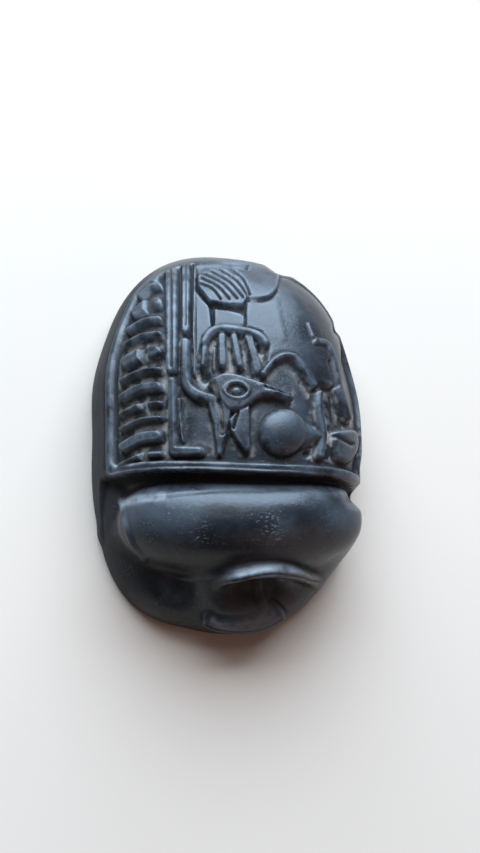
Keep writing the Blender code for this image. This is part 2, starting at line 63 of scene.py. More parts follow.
print("the packed amulet measures", np.round((cad_high - cad_low) * 1000, 1), "mm")

# %% [markdown]
# ## Units and the pattern
#
# The render works in metres, but a carver thinks in millimetres, so the form is worked out in
# millimetres and scaled at the very end. All its free shapes are laid out on a pattern, with the head
# towards -Y, the tail towards +Y and the flat underside at z = 0.

# %% Sizes
MM = 0.001
PATTERN_HEIGHT = 26.4
GROOVE_Y = -12.4
GROOVE_SWEEP = 0.0022
GROOVE_SLANT = -0.02
GROOVE_HALF_WIDTH = 0.8
GROOVE_DEPTH = 2.9
GROOVE_END_HEIGHT = 8.5
GROOVE_END_LEAN = 9.0
PRONOTUM_SLANT = 0.04
PANEL_DEPTH = 1.3
PANEL_FROM_GROOVE = 1.7
BORDER_HALF_WIDTH = 0.95
BORDER_LEVEL = 12.0
BORDER_RISE_AT_TAIL = 3.0
BEAD_HEIGHT = 0.45
OUTER_LINE_DEPTH = 0.3
RIM_HALF_WIDTH = 0.9
RIM_HEIGHT = 0.25
HOOD_HEIGHT = 1.9
RECESS_DEPTH = 3.0
BASE_EDGE_ROUNDING = 1.6
print("the groove is", 2 * GROOVE_HALF_WIDTH, "mm wide, and the panel is sunk by", PANEL_DEPTH, "mm")

# %% [markdown]
# ## Adding and easing
#
# A soft form can be described by the distance to it. Where two such distances are blended, the forms
# melt into each other with a fillet, as they do under a carver's abrasive. These few helpers blend,
# ease and round, and everything on the amulet is made with them.

# %% Blends and rounded profiles


def smooth_min(a, b, blend):
    """The nearer of two distances, with a fillet where they meet."""
    share = np.clip(0.5 + 0.5 * (b - a) / blend, 0, 1)
    return b * (1 - share) + a * share - blend * share * (1 - share)


def smooth_max(a, b, blend):
    """The further of two distances, with a rounding where they meet."""
    return -smooth_min(-a, -b, blend)


def fade(value, low, high):
    """From 0 at low to 1 at high, easing in and out."""
    share = np.clip((value - low) / (high - low), 0, 1)
    return share * share * (3 - 2 * share)


def bump(distance, half_width):
    """1 on a line, easing to 0 half a width away."""
    share = np.clip(1 - np.abs(distance) / half_width, 0, 1)
    return share * share * (3 - 2 * share)


def rounded_top(distance, height, shoulder):
    """A raised form: nothing at its outline, its full height a shoulder inside it."""
    return height * np.sin(np.clip(-distance / shoulder, 0, 1) * math.pi / 2)


print("a shoulder of 1 rises to", round(float(rounded_top(-0.5, 1, 1)), 2), "half way in from its outline")

# %% [markdown]
# ## Soft blocks
#
# The wing cases, the pronotum, the lower body and the head are each an oval block whose corners grow
# squarer as its two powers grow. A sphere has the power 2, and these blocks lie between 2.2 and 3.
# Each is a centre, three radii, the power of its plan and the power of its upright section.

# %% Soft block


def block(points, centre, radii, plan, upright):
    """Distance to a soft block."""
    away = points - np.array(centre)
    share = np.abs(away / np.array(radii)) + 1e-9
    ring = (share[..., 0] ** plan + share[..., 1] ** plan) ** (1 / plan)
    reach = (ring**upright + share[..., 2] ** upright) ** (1 / upright)
    return np.sqrt((away**2).sum(-1)) * (1 - 1 / reach)


WING_CASES = ((0, 2.55, 0), (27.5, 36.55, PATTERN_HEIGHT), 2.55, 2.35)
PRONOTUM = ((1.0, -19.0, 11.0), (23.7, 9.4, 14.2), 2.45, 2.2)
LOWER_BODY = ((0, 0.2, 0), (26.3, 37.4, 14.5), 2.65, 3.0)
HEAD = ((0.6, -26.0, 0), (11.4, 11.4, 19.5), 2.2, 2.2)
GROOVE_FLOOR = ((0, 0, 0), (25.3, 30, PATTERN_HEIGHT - GROOVE_DEPTH), 2.2, 2.3)
above_top = np.array([[0.0, 2.55, PATTERN_HEIGHT + 1]])
print("1 mm above the wing cases the distance is", round(float(block(above_top, *WING_CASES)[0]), 2))

# %% [markdown]
# ## The body before carving
#
# The wing cases end at the groove, which runs a little slanted across the back. The pronotum swells
# in front of it, and the lower body carries both and runs forward into the head. The fillets are
# narrow in the groove and wide at the shoulders. The body also bows a little to one side.

# %% Groove line and smooth form
GROOVE_TOP_ROUNDING = 0.9
GROOVE_CORNER_FILLET = 0.4
GROOVE_FLOOR_FILLET = 0.8
HEAD_FILLET = 3.0
FLANK_FILLET = 0.5
NEAR_SHOULDER_FILLET = 2
FAR_SHOULDER_EXTRA = 4.5
BOW = 0.0014
BOW_SHIFT = 0.4
FLANK_SWELL = 0.75
TAPER = 0.0008


def groove_line(x):
    """The groove's middle across the back, slanted and with its ends swept towards the tail."""
    return GROOVE_Y - GROOVE_SLANT * x + GROOVE_SWEEP * x**2


def bowed(points):
    """The points with the amulet's slight sideways bow and its taper taken out."""
    straight = points.copy()
    x, y = points[:, 0], points[:, 1]
    swell = FLANK_SWELL * bump(y - 10 - 7 * fade(x, -12, 12), 13)
    straight[:, 0] -= BOW_SHIFT - BOW * (y - 2) ** 2 - swell
    straight[:, 0] /= 1 - TAPER * (y - GROOVE_Y)
    return straight


def soft_blocks(points):
    """Distances to the wing cases, the pronotum, the lower body with the head, and the groove's floor."""
    tapered = bowed(points)
    swept = points.copy()
    swept[:, 1] -= PRONOTUM_SLANT * points[:, 0] + GROOVE_SWEEP * points[:, 0] ** 2
    lower = smooth_min(block(tapered, *LOWER_BODY), block(points, *HEAD), HEAD_FILLET)
    return block(tapered, *WING_CASES), block(swept, *PRONOTUM), lower, block(tapered, *GROOVE_FLOOR)


def smooth_form(points):
    """Distance to the amulet before it is carved, negative inside."""
    cases, pronotum, lower, groove_floor = soft_blocks(points)
    below_groove = fade(-points[:, 2], -GROOVE_END_HEIGHT, -0.4 * GROOVE_END_HEIGHT)
    wall = groove_line(points[:, 0]) + GROOVE_HALF_WIDTH - GROOVE_END_LEAN * below_groove
    cases = smooth_max(cases, 0.92 * (wall - points[:, 1]), GROOVE_TOP_ROUNDING)
    upper = smooth_min(cases, pronotum, GROOVE_CORNER_FILLET)
    upper = smooth_min(upper, groove_floor, GROOVE_FLOOR_FILLET)
    shoulder = NEAR_SHOULDER_FILLET + FAR_SHOULDER_EXTRA * fade(points[:, 0], 0, 14)
    fillet = FLANK_FILLET + shoulder * fade(GROOVE_Y - points[:, 1], 4, 9)
    floor = -0.35 * BASE_EDGE_ROUNDING - points[:, 2]
    return smooth_max(smooth_min(upper, lower, fillet), floor, BASE_EDGE_ROUNDING)


at_top = float(smooth_form(np.array([[0.0, 2.5, PATTERN_HEIGHT]]))[0])
print("the top of the wing cases is", round(at_top, 3), "mm from the smooth form")

# %% [markdown]
# ## The carver's sheet
#
# The relief was read from one view, from the front left and high above. So its marks are drawn on a
# flat sheet that faces that view, like a tracing held up to the stone, and then pressed onto the back.
# A point of the stone falls on the sheet where the line from the eye through it crosses the sheet.
# The same eye later holds the camera.

# %% Sheet
SHEET_TURN = math.radians(-39.4)
SHEET_RAISE = math.radians(68.35)
SHEET_AIM = np.array([1.1, 1.5, 9.9])
AIM_DISTANCE = 197.4
SHEET_DISTANCE = 200.0

BACK = np.array(
    [
        math.sin(SHEET_TURN) * math.cos(SHEET_RAISE),
        -math.cos(SHEET_TURN) * math.cos(SHEET_RAISE),
        math.sin(SHEET_RAISE),
    ]
)
RIGHT = np.cross([0, 1, 0], BACK)
RIGHT /= np.linalg.norm(RIGHT)
UP = np.cross(BACK, RIGHT)
EYE = SHEET_AIM + AIM_DISTANCE * BACK


def on_sheet(points):
    """Where points fall on the sheet: s to the right and t upwards, in millimetres."""
    away = points - EYE
    scale = SHEET_DISTANCE / -(away @ BACK)
    return scale * (away @ RIGHT), scale * (away @ UP)


print("the eye is at", np.round(EYE, 1), "mm")

# %% [markdown]
# ## Drawing on the sheet
#
# A carver draws with strokes and outlines. Each helper gives the distance from every point of the
# sheet to one of them, less its width, so a negative distance is inside the mark. A few knots joined
# by a smooth curve are enough for a bent stroke.

# %% Strokes, outlines and ovals


def curve(points, closed=False, steps=4):
    """A smooth line through the points."""
    knots = np.array(points, float)
    count = len(knots)
    line = []
    for i in range(count if closed else count - 1):
        places = [i - 1, i, i + 1, i + 2]
        if closed:
            a, b, c, d = (knots[j % count] for j in places)
        else:
            a, b, c, d = (knots[min(max(j, 0), count - 1)] for j in places)
        for u in np.arange(steps) / steps:
            bend = (2 * a - 5 * b + 4 * c - d) * u**2 + (3 * b - a - 3 * c + d) * u**3
            line.append(0.5 * (2 * b + (c - a) * u + bend))
    return np.array(line if closed else line + [knots[-1]])


def to_segment(s, t, start, end):
    """Distance to a straight line, and the share of the way along it."""
    along = end - start
    share = ((s - start[0]) * along[0] + (t - start[1]) * along[1]) / max(along @ along, 1e-9)
    share = np.clip(share, 0, 1)
    return np.hypot(s - start[0] - share * along[0], t - start[1] - share * along[1]), share


def to_stroke(s, t, points, half_width, end_half_width=None):
    """Distance to a stroke through the points, whose width may change evenly on the way."""
    line = np.array(points, float)
    spans = np.hypot(*(line[1:] - line[:-1]).T)
    run = np.concatenate([[0], np.cumsum(spans)]) / spans.sum()
    widening = 0 if end_half_width is None else end_half_width - half_width
    nearest = np.full(s.shape, 1e3)
    for i in range(len(line) - 1):
        distance, share = to_segment(s, t, line[i], line[i + 1])
        half = half_width + widening * (run[i] + (run[i + 1] - run[i]) * share)
        nearest = np.minimum(nearest, distance - half)
    return nearest


def to_outline(s, t, points):
    """Distance to a closed outline, negative inside it."""
    line = np.array(points, float)
    nearest = np.full(s.shape, 1e3)
    inside = np.zeros(s.shape, bool)
    for start, end in zip(line, np.roll(line, -1, axis=0)):
        nearest = np.minimum(nearest, to_segment(s, t, start, end)[0])
        if start[1] != end[1]:
            crossing = start[0] + (end[0] - start[0]) * (t - start[1]) / (end[1] - start[1])
            inside ^= ((start[1] > t) != (end[1] > t)) & (s < crossing)
    return np.where(inside, -nearest, nearest)


def to_oval(s, t, centre, radii, tilt=0.0):
    """Distance to an oval, negative inside it. Tilt is in degrees."""
    c, w = math.cos(math.radians(tilt)), math.sin(math.radians(tilt))
    a, b = s - centre[0], t - centre[1]
    return (np.hypot((a * c + b * w) / radii[0], (b * c - a * w) / radii[1]) - 1) * min(radii)


print("a curve through 3 knots has", len(curve([(0, 0), (1, 1), (2, 0)])), "points")

# %% [markdown]
# ## Marks of the panel
#
# The ground of the panel is sunk, and the marks stand up from it to about the level of the smooth
# back. Each mark is a distance, its top above the smooth back, and the width of its rounded shoulder.
# The first marks are the plain worn ground and the upright ridges that part the panel.

# %% Plain ground and dividers


def plain_ground(s, t):
    """The smooth worn ground beside the figure, which stands a little below the back."""
    near_edge = curve([(0.9, 26.8), (6, 29), (9, 32), (13, 33), (19, 27), (21, 18), (20.6, 9), (17.4, 8)])
    above_fan = [(-9.4, 31.8), (-6, 32.1), (-2, 32.4), (1.6, 31.8), (8, 33), (8, 38), (-9.4, 38)]
    arm = curve([(15.2, 8.6), (12.2, 13.2), (10.4, 14.5), (8.4, 14.4), (6.6, 13.2), (4.8, 10.9)])
    plateau = np.concatenate([near_edge, arm, [(5.6, 16.5), (4.2, 19), (0.9, 20)]])
    beside_fan = [(-9.3, 31), (-8.6, 28), (-5.8, 24.6), (-5.4, 20.4), (-7.4, 18.2), (-8.4, 14), (-9.3, 14)]
    return [
        (to_outline(s, t, plateau), -0.38, 1.0),
        (to_outline(s, t, beside_fan), -0.4, 0.6),
        (to_outline(s, t, above_fan), -0.05, 1.0),
        (to_stroke(s, t, arm, 0.9), 0.0, 0.7),
    ]


def dividers(s, t):
    """The upright ridges between the strokes and the figure, and the corner piece below."""
    corner = np.minimum(
        to_stroke(s, t, [(-13.8, 9.3), (-13.6, -4.3)], 1.3),
        to_stroke(s, t, [(-13.2, -4.8), (-8.4, -4.8)], 1.5, 1.35),
    )
    return [
        (to_stroke(s, t, [(-13.9, 38), (-13.9, 11.9)], 1.5), 0.1, 0.8),
        (to_stroke(s, t, [(-10.9, 38), (-11.0, 19.6)], 1.1), 0.1, 0.7),
        (to_stroke(s, t, [(-9.1, 33), (-9.4, 19), (-9.2, 14), (-9.3, 11)], 0.4), -0.2, 0.4),
        (corner, 0.15, 1.0),
        (to_stroke(s, t, [(-12.5, 6), (-12.3, 1), (-11.8, -2.7)], 0.3), -0.5, 0.35),
    ]


ANYWHERE = np.zeros(1)
print("the panel has", len(dividers(ANYWHERE, ANYWHERE)), "dividing marks")

# %% [markdown]
# The figure is an animal's head with a long muzzle, on a bent neck. Two pointed legs hang under the
# jaw, a ball lies before it, and a tall crown with a fan stands on it.

# %% Figure, ball and crown
EYE_CENTRE = (-0.7, 7.1)


def figure(s, t):
    """The long-muzzled head on its bent neck, with the two pointed legs under its jaw."""
    neck = curve([(-11.1, 17.1), (-11.1, 11), (-10.6, 8.4), (-9.2, 7), (-7.4, 6.2), (-5.4, 5.6)])
    brow = curve([(-6.4, 8.0), (-6.4, 9.6), (-3.6, 11.2), (-0.8, 11.1), (3, 9.9), (7, 8.6), (10.9, 7.1)])
    jaw = [(10.9, 4.9), (7.6, 5.6), (4.2, 5.6), (2.2, 4.3), (0.2, 2.9), (-2.6, 3), (-4.4, 5.2), (-6.4, 8.0)]
    back_leg = [(-7.0, 5.6), (-5.7, 1), (-4.8, -5.9), (-3.6, -5.9), (-2.0, 0.4), (-1.4, 4), (-3.4, 5.8)]
    front_leg = [(-2.6, 1.6), (-0.8, 3.4), (2.2, 4.8), (2.3, -5.1), (1.0, -5.6), (-2.1, -0.8)]
    return [
        (to_stroke(s, t, neck, 1.35, 1.5), 0.2, 1.1),
        (to_outline(s, t, back_leg), 0.05, 0.65),
        (to_outline(s, t, front_leg), 0.05, 0.65),
        (to_outline(s, t, np.concatenate([brow, curve(jaw)])), 0.35, 1.1),
    ]


BALL_CENTRE = (9.0, -0.9)
BALL_RADIUS = 4.9
BALL_BULGE = 2.4


def ball_level(s, t):
    """The ball before the figure, domed, with a low bridge that joins it to the staff."""
    share = np.clip(-to_oval(s, t, BALL_CENTRE, (BALL_RADIUS, BALL_RADIUS)) / BALL_RADIUS, 0, 1)
    dome = BALL_BULGE * np.sqrt(1 - (1 - share) ** 2)
    bridge = rounded_top(to_stroke(s, t, [(10, -1.2), (16.6, -1.6)], 3.9, 1.7), 1.1, 2.4)
    return np.where(np.maximum(dome, bridge) > 0, smooth_max(dome, bridge, 0.8), 0)


def crown(s, t):
    """The figure's tall crown: hanging strips, a band, a block, and a fan with its end piece."""
    band = [(-7.2, 17.1), (-6.2, 18.8), (-4.4, 19.8), (-1.6, 19.8), (2.0, 19.1), (4.2, 18.2), (5.2, 17)]
    fan = [(-8.8, 31.4), (-7, 32.2), (-2.8, 32.2), (2.1, 31.4), (1.9, 26.2), (0.8, 24.2), (-2.8, 24.3)]
    fan += [(-6.2, 25), (-8.6, 28)]
    end_piece = [(1.4, 33), (5, 34.5), (8.6, 33), (8.2, 29.2), (7.6, 27.1), (5.4, 25.4), (1.4, 25.5)]
    block_sides = [(-5.4, 24.1), (-2.4, 23.8), (0, 23.2), (1.2, 22.5), (1.2, 20), (-5.4, 20)]
    marks = [
        (to_stroke(s, t, curve(band), 1.05), 0.25, 0.8),
        (to_stroke(s, t, [(-7.1, 17), (-7.5, 12.6)], 0.95), -0.05, 0.8),
        (to_outline(s, t, block_sides), -0.12, 0.5),
        (to_outline(s, t, fan), 0.15, 0.45),
        (to_outline(s, t, curve(end_piece, closed=True)), 0.1, 0.8),
        (to_stroke(s, t, [(-5.2, 16.5), (-5.4, 12.1)], 0.35), -0.6, 0.4),
    ]
    strips = [((-3.6, 18.4), (-3.5, 12.9), 1.1), ((-1.2, 18.4), (0.0, 12.6), 1.0)]
    strips += [((1.8, 18.4), (3.7, 11.6), 1.2)]
    for top, foot, half_width in strips:
        marks.append((to_stroke(s, t, [top, foot], half_width), -0.1, 0.7))
    return marks


print("the crown has", len(crown(ANYWHERE, ANYWHERE)), "marks")

# %% [markdown]
# The far flank holds a limb, a staff and a foot, seen at a slant. The near flank held a column of
# signs. Rows of shallow bowed strokes stand in its place, with the same rhythm of thick and thin.

# %% Flanks
STROKE_HALF_WIDTHS = (0.85, 1.45, 0.85, 0.85, 1.25)
STROKE_ROWS = 12
STROKE_GAP = 1.3
FIRST_ROW_T = -5.3
ROW_END_S = -15.5
ROW_DROP = 2.3
ROW_BOW = 0.7


def far_flank_figures(s, t):
    """The limb, staff and foot on the flank away from the eye."""
    limb = curve([(15.4, 17.2), (17.6, 16.6), (19.2, 13), (20.4, 7.4), (22.2, 1.8)])
    staff = curve([(16.4, 6.9), (16.4, 3.3), (17.2, -1.3), (16.6, -5.6)])
    foot = [(19, -1.1), (21.2, -0.2), (24, -0.6), (24.4, -4.6), (22.2, -7.4), (19.4, -6.0)]
    return [
        (to_stroke(s, t, [(13.8, 20.8), (14.8, 18.2)], 0.55), 0.0, 0.6),
        (to_stroke(s, t, limb, 1.1, 1.0), 0.15, 0.9),
        (to_stroke(s, t, staff, 1.05), -0.05, 0.9),
        (to_outline(s, t, curve(foot, closed=True)), 0.0, 1.0),
    ]


def column_left_edge(t):
    """The left ends of the strokes follow the border, which leans in towards the tail."""
    return -25.0 + 0.012 * np.maximum(t - 8, 0) ** 2


def stroke_column(s, t):
    """Rows of bowed strokes down the near flank, thick and thin by turns, some broken in two."""
    marks = []
    end_t = FIRST_ROW_T
    for row in range(STROKE_ROWS):
        half_width = STROKE_HALF_WIDTHS[row % len(STROKE_HALF_WIDTHS)]
        start_t = end_t - ROW_DROP
        start_s = column_left_edge(start_t) + half_width
        finish_s = ROW_END_S - half_width
        middle_s = (start_s + finish_s) / 2
        middle = (middle_s, (start_t + end_t) / 2 + ROW_BOW)
        line = curve([(start_s, start_t), middle, (finish_s, end_t)], steps=3)
        distance = to_stroke(s, t, line, half_width)
        if row % 3 == 0:
            distance = np.maximum(distance, 0.5 - np.abs(s - middle_s - 0.6))
        marks.append((distance, 0.05, 0.8))
        next_half_width = STROKE_HALF_WIDTHS[(row + 1) % len(STROKE_HALF_WIDTHS)]
        end_t += half_width + STROKE_GAP + next_half_width
    return marks


print("the near flank has", len(stroke_column(ANYWHERE, ANYWHERE)), "rows of strokes")

# %% [markdown]
# Last come the lines cut into the raised marks, such as the folds of the fan and the mouth. Then all
# of the panel is put together: the sunk ground, the highest mark at each place, and the cuts.

# %% Cut lines and the whole panel
FAN_LINES = 6
HOLE_DEPTH = 0.7
MARKS = (plain_ground, dividers, figure, crown, far_flank_figures, stroke_column)


def fan_fold(share):
    """One fold of the fan. The folds start along its upper left and gather at its foot."""
    start = np.array([-8.2 + 6.6 * share**1.9, 28.7 + 2.7 * (1 - (1 - share) ** 2.2)])
    end = np.array([-3.9 + 5.9 * (1 - (1 - share) ** 1.6), 25.5 + 1.0 * share**2])
    return curve([start, (start + end) / 2 + np.array([0.45, 0.5]), end])


def cut_lines(s, t):
    """Strokes cut into the marks: each is a distance, a depth and a half width."""
    lines = [(to_stroke(s, t, fan_fold(share), 0.0), 0.6, 0.38) for share in np.linspace(0, 1, FAN_LINES)]
    strokes = [
        ([(-8.9, 30.3), (-8.7, 27.9), (-7.4, 26.1), (-6, 24.4), (-5.6, 21)], 0.7, 0.5),
        ([(1.6, 25.7), (4.6, 25.6), (6.3, 26.2), (7.5, 27.6)], 0.4, 0.45),
        ([(-13.9, 36), (-13.8, 12.1)], 0.45, 0.38),
        ([(-10.8, 34), (-10.9, 20.4)], 0.25, 0.35),
        ([(5.0, 8.0), (8.0, 7.1), (11.2, 6.1)], 0.8, 0.42),
        ([(-5.3, 8.5), (-4.5, 5.7), (-3.7, 2.9), (-3.6, -1.2)], 0.9, 0.8),
        ([(-0.4, 2.9), (-1.3, -0.2)], 0.7, 0.45),
        ([(18.2, 13.2), (19.6, 8.3)], 0.35, 0.5),
        ([(19.6, -1.9), (22.4, -3.4)], 0.45, 0.8),
        ([(7.2, 25.2), (7.9, 21.5), (8.8, 18.2)], -0.08, 1.3),
    ]
    for points, depth, half_width in strokes:
        lines.append((to_stroke(s, t, curve(points), 0.0), depth, half_width))
    return lines


def drilled(s, t):
    """The depth of the deep rounded holes in the corners of the ground."""
    depth = np.zeros(s.shape)
    holes = [((4.5, 16.6), 1.0), ((-7.3, 10.7), 1.2), ((14.5, -5.2), 0.8), ((-23.0, 18.7), 0.8)]
    for centre, radius in holes:
        depth += HOLE_DEPTH * bump(np.hypot(s - centre[0], t - centre[1]), 1.5 * radius)
    return depth


def eye_level(s, t):
    """The almond eye: its opening is sunk, and the eyeball stands in it."""
    x, y = EYE_CENTRE
    opening = np.maximum(*(to_oval(s, t, (x, y + shift), (2.3, 1.95), -10) for shift in (-0.6, 0.6)))
    ball = to_oval(s, t, EYE_CENTRE, (1.1, 0.95))
    return 0.15 * bump(opening - 0.25, 0.5) - rounded_top(opening, 0.5, 0.4) + rounded_top(ball, 0.5, 0.9)


def carved_level(s, t):
    """The carving's height against the smooth back: the sunk ground, and what stands on it."""
    level = np.full(s.shape, -PANEL_DEPTH)
    for part in MARKS:
        for distance, top, shoulder in part(s, t):
            level = np.maximum(level, rounded_top(distance, top + PANEL_DEPTH, shoulder) - PANEL_DEPTH)
    level = np.maximum(level, ball_level(s, t) - PANEL_DEPTH)
    level -= drilled(s, t) * fade(-level, 0.5 * PANEL_DEPTH, PANEL_DEPTH)
    for distance, depth, half_width in cut_lines(s, t):
        level = level - depth * bump(distance, half_width)
    return level + eye_level(s, t)


def panel_inset(points):
    """How far inside the panel's border a point is."""
    level = BORDER_LEVEL + BORDER_RISE_AT_TAIL * fade(points[:, 1], 27, 34)
    above_level = 1.05 * (points[:, 2] - level)
    behind_groove = points[:, 1] - groove_line(points[:, 0]) - PANEL_FROM_GROOVE
    return smooth_min(above_level, behind_groove, 1.5), above_level, behind_groove


def panel_height(points):
    """The panel on the wing cases: its carving, the bead round it and the line outside the bead."""
    inset, above_level, behind_groove = panel_inset(points)
    inside = fade(inset, 0.6 * BORDER_HALF_WIDTH, 1.4 * BORDER_HALF_WIDTH)
    carving = carved_level(*on_sheet(points)) * inside
    at_groove = fade(above_level - behind_groove, -1, 1)
    worn = (1 - fade(points[:, 1], 25, 31)) * (1 - 0.85 * fade(points[:, 0], 6, 14))
    bead_half_width = BORDER_HALF_WIDTH * (1.3 - 0.65 * at_groove)
    bead = BEAD_HEIGHT * worn * bump(inset + 0.15 + 0.6 * at_groove, bead_half_width)
    outer_line = OUTER_LINE_DEPTH * worn * bump(inset + BORDER_HALF_WIDTH + 0.7, 0.7) * (behind_groove > 0.5)
    return carving + bead - outer_line


print("the panel has", len(cut_lines(ANYWHERE, ANYWHERE)), "cut lines")

# %% [markdown]
# ## The head end
#
# A raised rim under the pronotum swells into a hood over the beetle's head. Under the hood lies an
# oval recess with the worn face, closed below by a lip. The pronotum has a thin line along its upper
# edge and a fine ridge round its near end.

# %% Hood, face and pronotum lines
HOOD_ARC = [(-5, -31.6), (-2, -30.1), (2, -29.0), (6, -28.5), (10, -28.9), (13, -29.9), (16, -31)]
RECESS_OVAL = ((2.4, -33.8), (9.3, 4.5), 5)


def face_level(s, t):
    """The recess under the hood, with the beetle's face in it and the lip below it."""
    recess = to_oval(s, t, *RECESS_OVAL)
    level = -RECESS_DEPTH * fade(-recess, -0.3, 2.8 + 1.6 * fade(-s, -4, 4))
    level = level + 0.45 * bump(to_stroke(s, t, [(4.6, -32.8), (4.9, -36.0)], 0.3), 1.4)
    lumps = [((2.0, -31.4), 1.0, 0.45), ((5.8, -30.9), 1.0, 0.4), ((8.4, -31.4), 0.9, 0.4)]
    for centre, radius, height in lumps:
        level = level + rounded_top(to_oval(s, t, centre, (radius, radius)), height, radius)
    lip = curve([(-6.4, -38.1), (-4.4, -39.0), (0, -39.5), (4, -38.9), (7.6, -37.2)])
    return level + 1.6 * bump(to_stroke(s, t, lip, 0.3), 1.3)


def front_height(points):
    """The rim under the pronotum, which swells into a hood over the recess with the face."""
    s, t = on_sheet(points)
    pronotum = soft_blocks(points)[1]
    rim = RIM_HEIGHT * fade(-s, -8, 0) * fade(s, -18, -8) * bump(pronotum - 1.2, RIM_HALF_WIDTH)
    crest = bump(to_stroke(s, t, curve(HOOD_ARC), 0.4), 1.5)
    hood = HOOD_HEIGHT * fade(s, -6, 0) * fade(-s, -17, -12) * crest
    return rim + hood + face_level(s, t) * fade(points[:, 2], 1.5, 4.0)


def pronotum_lines(s, t):
    """The thin line along the pronotum's upper edge, and the fine ridge round its near end."""
    line = curve([(-22.4, -14.5), (-17, -14.4), (-11, -13.6), (-4, -13.0), (8, -12.9)])
    ridge = curve([(-23.5, -15.4), (-23.2, -17.9), (-22.4, -20.9), (-21.2, -24.1), (-19.2, -26.4)])
    faded = fade(-s, -10, 2)
    return 0.5 * bump(to_stroke(s, t, ridge, 0.0), 0.9) - 0.12 * faded * bump(to_stroke(s, t, line, 0.0), 0.6)


under_hood = face_level(np.array([2.4]), np.array([-33.8]))
print("the middle of the recess lies at", round(float(under_hood[0]), 2), "mm")

# %% [markdown]
# ## Old damage
#
# A bite is missing from the edge at the tail, smaller nicks follow it down the far flank, and the
# groove ends there in a notch.

# %% Bites


def bitten_depth(s, t):
    """The depth of the bites in the outline, drawn on the sheet where the edge shows."""
    depth = np.zeros(s.shape)
    bites = [((8.6, 32.5), (4.6, 2.8), -18, 1.7), ((19.9, 20.0), (1.7, 2.2), 0, 0.7)]
    bites += [((24.8, -8.4), (3.0, 3.4), 0, 0.35), ((24.8, -14.2), (5.0, 3.2), 0, 1.7)]
    for centre, radii, tilt, deepest in bites:
        depth += deepest * bump(1 + to_oval(s, t, centre, radii, tilt) / min(radii), 1)
    return depth


def carved_height(points):
    """All of the carving and wear at each point of the smooth form."""
    height = np.zeros(len(points))
    ahead = points[:, 1] < groove_line(points[:, 0]) - 2
    upper = points[:, 2] > 0.5 * BORDER_LEVEL
    height[ahead] = front_height(points[ahead])
    height[upper & ~ahead] = panel_height(points[upper & ~ahead])
    s, t = on_sheet(points)
    on_pronotum = soft_blocks(points)[1] < 0.6
    height[on_pronotum] += pronotum_lines(s[on_pronotum], t[on_pronotum])
    return height - bitten_depth(s, t)


at_bite = bitten_depth(np.array([8.6]), np.array([32.5]))
print("the tail has lost", round(float(at_bite[0]), 2), "mm in the middle of its bite")

# %% [markdown]
# ## From distances to a mesh
#
# A cube with finely divided sides is blown up like a balloon until each point reaches the smooth
# form, and the carving then lifts or sinks it. The points start from a short spine inside the stone,
# not from one centre, so they lie evenly over the long body. A ball of points is always closed, so
# this can't leave a hole, and a cube has no crowded poles as a globe would.

# %% Points on the surface
SPINE_CENTRE_Y = GROOVE_Y + 3.4
SPINE_HALF = 14.0
SPINE_Z = 6.0
MARCH_START = 42.0
MARCH_STEPS = 14


def surface_along(directions):
    """The point where each direction from the spine leaves the carved amulet."""
    starts = np.zeros_like(directions)
    starts[:, 1] = SPINE_CENTRE_Y + SPINE_HALF * directions[:, 1]
    starts[:, 2] = SPINE_Z
    reach = np.full(len(directions), MARCH_START)
    distance = smooth_form(starts + reach[:, None] * directions)
    step = -0.9 * distance
    for _ in range(MARCH_STEPS):
        reach = reach + step
        nearer = smooth_form(starts + reach[:, None] * directions)
        slope = np.clip((nearer - distance) / np.where(np.abs(step) > 1e-6, step, 1), 0.35, 1.6)
        step, distance = -nearer / slope, nearer
    smooth = starts + reach[:, None] * directions
    return smooth, smooth + carved_height(smooth)[:, None] * directions


# %% Ball of points
BALL_CUTS = 236


def coordinates(mesh):
    """The mesh's points as rows."""
    places = np.empty(len(mesh.vertices) * 3)
    mesh.vertices.foreach_get("co", places)
    return places.reshape(-1, 3)


ball = bmesh.new()
bmesh.ops.create_cube(ball, size=2.0)
bmesh.ops.subdivide_edges(ball, edges=ball.edges[:], cuts=BALL_CUTS, use_grid_fill=True)
stone_mesh = bpy.data.meshes.new("scarab_stone")
ball.to_mesh(stone_mesh)
ball.free()
directions = np.tan(coordinates(stone_mesh) * math.pi / 4)
directions /= np.linalg.norm(directions, axis=1, keepdims=True)
smooth, surface = surface_along(directions)
left_over = np.abs(smooth_form(smooth))
print("the ball has", len(surface), "points, the furthest", float(left_over.max()), "mm off the form")

# %% [markdown]
# ## Dust, wear, painted highlight and painted shade
#
# Dust stays in the narrow gaps of the panel, where no finger reaches, so a point of the sunk ground
# has dust by the number of walls close to it. Hands have worn the hood and the lip pale, and a painted
# highlight lies on them as well. Painted shade darkens the recess and the near flank, and the smooth
# pronotum is scuffed. Each is worked out here as a number from 0 to 1 at every point of the smooth form.

# %% Where dust, wear, painted highlight and painted shade lie
DUST_REACH = 0.9
LOWEST_DUSTY_TOP = -0.3
PRONOTUM_FRONT_Y = -24.0


def dust_in_gaps(points):
    """How much dust lies at each point: most in the narrow gaps between the marks of the panel."""
    s, t = on_sheet(points)
    closeness = np.zeros(len(points))
    level = carved_level(s, t)
    for part in MARKS:
        for distance, top, _ in part(s, t):
            if top > LOWEST_DUSTY_TOP:
                closeness += np.exp(-((np.abs(distance) / DUST_REACH) ** 2))
    dusty = np.clip(closeness, 0, 1.6) / 1.6 * fade(-level, 0.35 * PANEL_DEPTH, 0.85 * PANEL_DEPTH)
    dusty *= 1 - 0.8 * fade(t, 17, 23)
    for distance, depth, half_width in cut_lines(s, t):
        if depth > 0.8:
            dusty = np.maximum(dusty, bump(distance, half_width))
    x, y = EYE_CENTRE
    in_eye = bump(np.hypot((s - x) / 2.0, (t - y) / 1.2) - 0.85, 0.5)
    return np.maximum(dusty, 0.7 * in_eye) * fade(panel_inset(points)[0], 0, 1)


